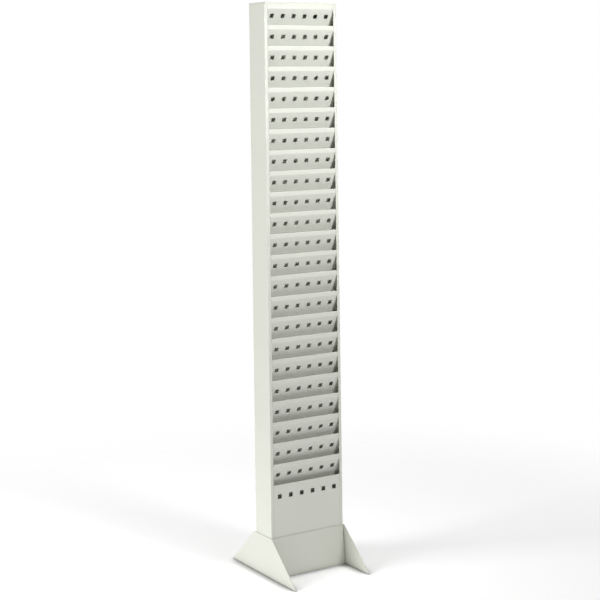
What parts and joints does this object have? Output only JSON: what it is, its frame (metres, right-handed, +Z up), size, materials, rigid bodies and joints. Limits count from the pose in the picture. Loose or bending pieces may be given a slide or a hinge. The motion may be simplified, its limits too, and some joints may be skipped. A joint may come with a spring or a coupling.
{
  "type": "newspaper rack",
  "caption": "Tall narrow free-standing sheet-steel rack with sloping perforated pocket panels one above another, standing in a wider flared base.",
  "frame": {"origin": "on the floor, below the centre of the rack", "axes": "+Z up, +X to the right of someone facing the rack's front, +Y from the front to the back"},
  "size_m": [0.258, 0.368, 1.7015],
  "materials": {
    "rack_paint": "warm light grey powder coat, fine orange peel",
    "base_paint": "warm light grey powder coat, fine orange peel"
  },
  "bodies": {
    "base": {"base_leg_left": "base_paint", "base_leg_right": "base_paint", "base_front_cover": "base_paint", "base_rear_cover": "base_paint", "base_shelf": "base_paint"},
    "rack": {"side_panel_left": "rack_paint", "side_panel_right": "rack_paint", "back_panel": "rack_paint", "top_cap": "rack_paint", "bottom_pan": "rack_paint", "lower_front_panel": "rack_paint", "pocket_panel_01": "rack_paint", "pocket_panel_02": "rack_paint", "pocket_panel_03": "rack_paint", "pocket_panel_04": "rack_paint", "pocket_panel_05": "rack_paint", "pocket_panel_06": "rack_paint", "pocket_panel_07": "rack_paint", "pocket_panel_08": "rack_paint", "pocket_panel_09": "rack_paint", "pocket_panel_10": "rack_paint", "pocket_panel_11": "rack_paint", "pocket_panel_12": "rack_paint", "pocket_panel_13": "rack_paint", "pocket_panel_14": "rack_paint", "pocket_panel_15": "rack_paint", "pocket_panel_16": "rack_paint", "pocket_panel_17": "rack_paint", "pocket_panel_18": "rack_paint", "pocket_panel_19": "rack_paint", "pocket_panel_20": "rack_paint", "pocket_panel_21": "rack_paint", "pocket_panel_22": "rack_paint", "pocket_panel_23": "rack_paint", "pocket_panel_24": "rack_paint"}
  },
  "joints": [
    {"name": "rack_lift", "type": "slide", "parent": "base", "child": "rack", "axis": [0, 0, 1], "range_m": [0, 0.12]}
  ]
}
